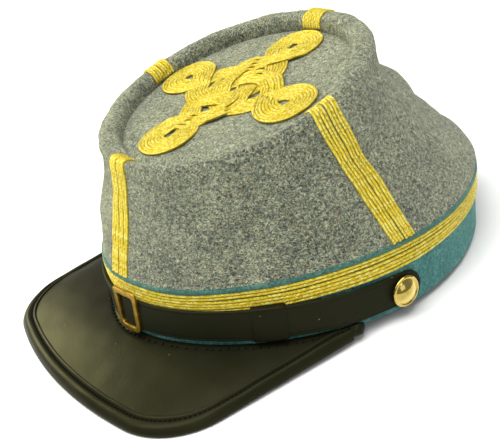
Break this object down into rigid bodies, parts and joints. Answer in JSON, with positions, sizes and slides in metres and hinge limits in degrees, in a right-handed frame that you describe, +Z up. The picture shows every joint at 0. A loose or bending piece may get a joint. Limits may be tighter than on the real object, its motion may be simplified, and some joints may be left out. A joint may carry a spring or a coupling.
{
  "type": "kepi cap",
  "caption": "Soft wool kepi with a sunk forward-tilted top, gold braid and knot, leather peak and a buckled chin strap; worn on the head.",
  "frame": {"origin": "on the ground, under the middle of the cap's box as it rests on its peak and the back of its band", "axes": "+Y to the back of the cap, +X to the wearer's left, +Z up"},
  "size_m": [0.1842, 0.2532, 0.1148],
  "materials": {
    "grey wool": "felted heather wool, matte",
    "teal wool": "felted wool, matte",
    "gold soutache": "two-ribbed metallic thread braid",
    "black leather": "smooth, soft sheen",
    "brass": "satin, aged",
    "gilt": "bright gilt"
  },
  "bodies": {
    "root": {"back_braid_1": "gold soutache", "back_braid_2": "gold soutache", "back_braid_3": "gold soutache", "back_braid_4": "gold soutache", "band": "teal wool", "band_braid_1": "gold soutache", "band_braid_2": "gold soutache", "band_braid_3": "gold soutache", "chin_strap": "black leather", "crown_side": "grey wool", "crown_top": "grey wool", "front_braid_1": "gold soutache", "front_braid_2": "gold soutache", "front_braid_3": "gold soutache", "front_braid_4": "gold soutache", "left_binding_end": "black leather", "left_braid_1": "gold soutache", "left_braid_2": "gold soutache", "left_braid_3": "gold soutache", "left_braid_4": "gold soutache", "left_button": "gilt", "peak": "black leather", "peak_binding": "black leather", "right_binding_end": "black leather", "right_braid_1": "gold soutache", "right_braid_2": "gold soutache", "right_braid_3": "gold soutache", "right_braid_4": "gold soutache", "right_button": "gilt", "strap_buckle": "brass", "strap_keeper": "black leather", "top_knot": "gold soutache", "welt": "teal wool"}
  },
  "joints": []
}
